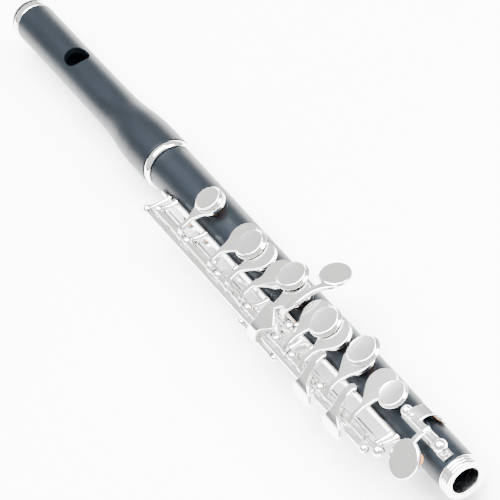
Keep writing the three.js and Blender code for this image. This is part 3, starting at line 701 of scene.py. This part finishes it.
def build_gsharp():
    x, angle = 219.9, 110
    cup, pad, top = cup_and_pad(seat_height(x))
    hinge = key_collars(223, 229, GSHARP_ROD, 1.3)
    down = ribbon([(224.3, p.x, p.y, 1.1, 1.1) for p in
                   smooth_path([(-10.4, 6.6), (-12, 3.6), (-12.4, 1.4), (-11.4, -1.4)], 4)])
    foot = ribbon([(221.9, p.x, p.y, 3.4, 1.1) for p in
                   smooth_path([(-12.1, 1.3), (-10.25, -3.73), (-9.6, -5.6)], 4)])
    rise = ribbon([(227.8, p.x, p.y, 1.2, 1.3) for p in smooth_path([(-9.4, 8.1), (-9.1, 10.2), (-7.9, 12)], 4)])
    over = smooth_path([(227.9, -8.4, 11.2, 1.2, 1.4), (228.6, -7.2, 12.8, 1.3, 1.5), (229.8, -5.2, 14.1, 1.4, 1.6),
                        (230.6, -2.6, 15, 1.5, 1.7), (230.9, 0, 15.4, 1.5, 1.7), (231.2, 3.4, 15.3, 1.4, 1.6),
                        (231.9, 6.4, 14.9, 1.5, 1.4), (232.4, 9, 14.2, 2.2, 1.2), (232.4, 11.5, 13.4, 2.6, 0.9)], 4)
    plate = [(0, 0), (0, 5.2), (0.2, 5.7), (0.55, 5.85), (0.95, 5.7), (1.3, 5.45), (1.38, 5.2), (1.3, 4.6), (1.25, 0)]
    touch = moved(upright(lathe(plate, 64)), Matrix.Rotation(math.radians(-14), 4, "X"))
    shapes = [hinge, down, foot, rise, ribbon(over, 0.5), shifted(touch, 229.6, 13.2, 12.6), round_tube(cup, x, angle)]
    piece("gsharp_key_silver", shapes, "gsharp", SILVER, ["gsharp_key"])
    skin = piece("gsharp_pad_skin", [round_tube(pad, x, angle)], "gsharp", PAD_SKIN, ["gsharp_pad"])


def build_dsharp():
    """A closed cup on the far side, and the little finger's touch on the near side."""
    x, angle = 295.1, -64
    cup, pad, top = cup_and_pad(seat_height(x), 5.8, 0.9)
    hinge = key_collars(294.7, 308.8, DSHARP_ROD, 1.5)
    blade = smooth_path([(0.2, 11.2, 3.2), (1.8, 11.15, 3), (3.4, 10.7, 2.8), (5.4, 9.4, 2.8), (7, 7.3, 2.6),
                         (7.8, 5.8, 2.2)], 4)
    arm = smooth_path([(-0.9, 11.4, 1.2), (-3.6, 11.4, 1.2), (-6.4, 10.4, 1.2), (-8.8, 8.7, 1.4)], 4)
    plate = [(11.2, 0), (11.2, 5.9), (11.3, 6.3), (11.6, 6.62), (12.1, 6.75), (12.55, 6.7), (12.8, 6.5), (12.9, 6.2),
             (12.86, 5.4), (12.84, 0)]
    egg = Matrix.Rotation(math.radians(-20), 4, "Z") @ Matrix.Diagonal((0.97, 1.03, 1, 1))
    touch = shifted(moved(upright(lathe(plate, 96)), egg), 0, -4.7)
    boss = upright(lathe([(11.2, 0), (11.2, 1.5), (12.1, 1.5), (12.5, 1.2), (12.7, 0)], 32))
    shapes = [hinge, ribbon([(296.9, p[0], p[1], p[2], 0.9) for p in blade], 0.35),
              ribbon([(304.6, p[0], p[1], p[2], 1.3) for p in arm], 0.4), round_tube(touch, 305, 37),
              shifted(boss, 304.4, -0.4), ball(296.2, -0.4, 11.2, 1.25), round_tube(cup, x, angle)]
    piece("dsharp_key_silver", shapes, "dsharp", SILVER, ["dsharp_key"])
    skin = piece("dsharp_pad_skin", [round_tube(pad, x, angle)], "dsharp", PAD_SKIN, ["dsharp_pad"])
    bumper = upright(lathe([(9.6, 0), (9.6, 1.9), (11.1, 1.9), (11.1, 0)], 32))
    piece("dsharp_bumper_cork", [round_tube(shifted(bumper, 0, -2.2), 308.2, 37)], "dsharp", CORK)


def build_thumb():
    x, angle = 182, 165
    cup, pad, top = cup_and_pad(seat_height(x))
    hinge = key_collars(178.7, 191.6, THUMB_ROD, 1.3)
    arm = ribbon([(x, p.x, p.y, 1.1, 1.1) for p in
                  smooth_path([(-13.2, -4.4), (-12.2, -7.6), (-9.4, -9.4), (-2.4, -11.1)], 4)])
    paddle = smooth_path([(186.9, -13.9, -4.2, 1.4, 1.0), (187.6, -14.4, -6.4, 2.6, 1.0),
                          (188.2, -14.4, -9.2, 3.2, 1.0), (188.2, -14, -11.8, 2.8, 1.0), (188.2, -13.8, -12.8, 1.4, 1.0)], 4)
    shapes = [hinge, arm, ribbon(paddle, 0.4), round_tube(cup, x, angle)]
    shapes = [swung(shape, THUMB_ROD, -THUMB_OPENING) for shape in shapes]
    piece("thumb_b_key_silver", shapes, "thumb_b", SILVER, ["thumb_b_key"])
    skin = piece("thumb_b_pad_skin", [swung(round_tube(pad, x, angle), THUMB_ROD, -THUMB_OPENING)], "thumb_b",
                 PAD_SKIN, ["thumb_b_pad"])
    lever = smooth_path([(195.4, -13.9, -4.2, 1.4, 1.0), (195.4, -14.8, -6.8, 2.6, 1.0),
                         (195.4, -15, -9.8, 3.2, 1.0), (195.4, -14.7, -12.4, 2.6, 1.0), (195.4, -14.6, -13, 1.4, 1.0)], 4)
    finger = ribbon([(200.9, -13.4, -2.4, 0.9, 1.0), (200.9, -14, -0.4, 0.9, 1.0), (200.9, -14.6, 1.4, 0.8, 0.9)])
    shapes = [key_collars(192, 203.8, THUMB_ROD, 1.3), ribbon(lever, 0.4), finger]
    shapes = [swung(shape, THUMB_ROD, -THUMB_OPENING) for shape in shapes]
    piece("thumb_bb_lever_silver", shapes, "thumb_bb_lever", SILVER, ["thumb_bb_lever"])


def build_side_lever():
    run = smooth_path([(225.7, -9.8, 14.75, 1.1, 1.0), (225.9, -10.4, 14.7, 1.9, 1.1), (226.7, -12, 14.4, 3.2, 1.1),
                       (227.9, -14.2, 13.4, 4.6, 1.1), (227.3, -15.8, 12.4, 4.1, 1.1), (225.2, -17.6, 10.8, 2.9, 1.1),
                       (223.6, -19.4, 8.8, 2.5, 1.1), (222.8, -20.8, 6, 2.5, 1.1), (222.7, -21, 3.6, 2.3, 1.1)], 4)
    shapes = [ribbon(run, 0.4), key_collars(219.2, 233, LEVER_ROD, 1.15)]
    piece("side_lever_silver", shapes, "side_lever", SILVER, ["bb_side_lever"])


NEEDLES = [("c", 149.2, 161, -12.6, 4.4), ("bb", 171, 183, -12.6, 4.4), ("a", 193.2, 203, -12.6, 4.4),
           ("g_lower", 214.4, 222, -12.6, 4.4), ("f", 243.8, 254, -12.6, 4.4), ("e", 262, 270, -12.6, 4.4),
           ("d", 278, 288.6, -12.6, 4.4), ("dsharp", 297, 302, 2, 9.2)]


def build_needles():
    for name, x0, x1, y, z in NEEDLES:
        wire = [(x0, 0), (x0, 0.3), (x1 - 2, 0.24), (x1, 0.12), (x1, 0)]
        piece("spring_" + name + "_wire", [shifted(lathe(wire, 12), 0, y, z)], "body_joint", BLUED,
              ["spring_" + name])


def dress_hidden_nodes():
    looks = {"stopper_cork": CORK, "tenon_cork": CORK, "stopper_screw": STEEL, "stopper_plate": COMPOSITE,
             "socket_sleeve": SILVER}
    for name, look in looks.items():
        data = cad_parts[name].data
        data.materials.clear()
        data.materials.append(look)


# The studio.

FLOOR_BELOW = 0.0
LENS = 180.0
VIEW_TARGET = TO_FRAME @ Vector((184.3, 0.17, 0.09))
VIEW_AZIMUTH, VIEW_ELEVATION, VIEW_ROLL = 78.6, 45.55, -27.42
VIEW_DISTANCE = 0.8806
WALL_DARK_UP_TO, WALL_PALE_FROM = 0.07, 0.16


def build_camera():
    azimuth, elevation = math.radians(VIEW_AZIMUTH), math.radians(VIEW_ELEVATION)
    back = Vector((math.sin(azimuth) * math.cos(elevation), -math.cos(azimuth) * math.cos(elevation),
                   math.sin(elevation)))
    right = Vector((math.cos(azimuth), math.sin(azimuth), 0))
    turn = Matrix.Rotation(math.radians(VIEW_ROLL), 3, back)
    right = turn @ right
    up = back.cross(right)
    camera = bpy.data.objects.new("camera", bpy.data.cameras.new("camera"))
    camera.data.lens = LENS
    camera.data.sensor_width = 36
    camera.data.clip_start = 0.01
    camera.matrix_world = Matrix.Translation(VIEW_TARGET + back * VIEW_DISTANCE) @ Matrix(
        (right, up, back)).transposed().to_4x4()
    bpy.context.scene.collection.objects.link(camera)
    bpy.context.scene.camera = camera


def area_light(name, place, target, size, watts):
    light = bpy.data.objects.new(name, bpy.data.lights.new(name, "AREA"))
    light.data.shape = "RECTANGLE"
    light.data.size, light.data.size_y = size
    light.data.energy = watts
    light.location = place
    light.rotation_euler = (Vector(target) - Vector(place)).to_track_quat("-Z", "Y").to_euler()
    bpy.context.scene.collection.objects.link(light)


def build_studio():
    bpy.ops.mesh.primitive_grid_add(x_subdivisions=8, y_subdivisions=8, size=6,
                                    location=(0, 0, CAD_BOX[0][2] - FLOOR_BELOW - 0.0002))
    floor = bpy.context.object
    floor.name = "floor"
    material, tree, surface = new_material("studio floor")
    mottle = noise(tree, 6, 2)
    tint = ramp(tree, mottle.outputs["Fac"], (0.93, 0.93, 0.93), (0.95, 0.95, 0.95))
    tree.links.new(tint.outputs["Color"], surface.inputs["Base Color"])
    surface.inputs["Roughness"].default_value = 0.9
    floor.data.materials.append(material)
    build_world()
    area_light("overhead_light", (0, 0, 1.5), (0, 0, 0), (1.6, 1.6), 300)
    area_light("key_light", (0.7, 0.9, 1.0), (0, 0, 0), (0.7, 0.7), 60)


def build_world():
    """A pale room with a dark band low round its walls, which draws the thin dark lines in polished metal."""
    world = bpy.data.worlds.new("studio")
    bpy.context.scene.world = world
    world.use_nodes = True
    tree = world.node_tree
    where = tree.nodes.new("ShaderNodeTexCoord")
    parts = tree.nodes.new("ShaderNodeSeparateXYZ")
    tree.links.new(where.outputs["Generated"], parts.inputs["Vector"])
    walls = tree.nodes.new("ShaderNodeValToRGB")
    walls.color_ramp.elements[0].position = WALL_DARK_UP_TO
    walls.color_ramp.elements[0].color = (0.02, 0.022, 0.028, 1)
    walls.color_ramp.elements[1].position = WALL_PALE_FROM
    walls.color_ramp.elements[1].color = (0.99, 0.985, 0.97, 1)
    tree.links.new(parts.outputs["Z"], walls.inputs["Fac"])
    background = tree.nodes["Background"]
    tree.links.new(walls.outputs["Color"], background.inputs["Color"])
    background.inputs["Strength"].default_value = 1.35


build_head()
build_body()
build_straps()
build_rods()
build_main_keys()
build_trills()
build_gsharp()
build_dsharp()
build_thumb()
build_side_lever()
build_needles()
dress_hidden_nodes()
build_camera()
build_studio()

bpy.context.view_layer.update()
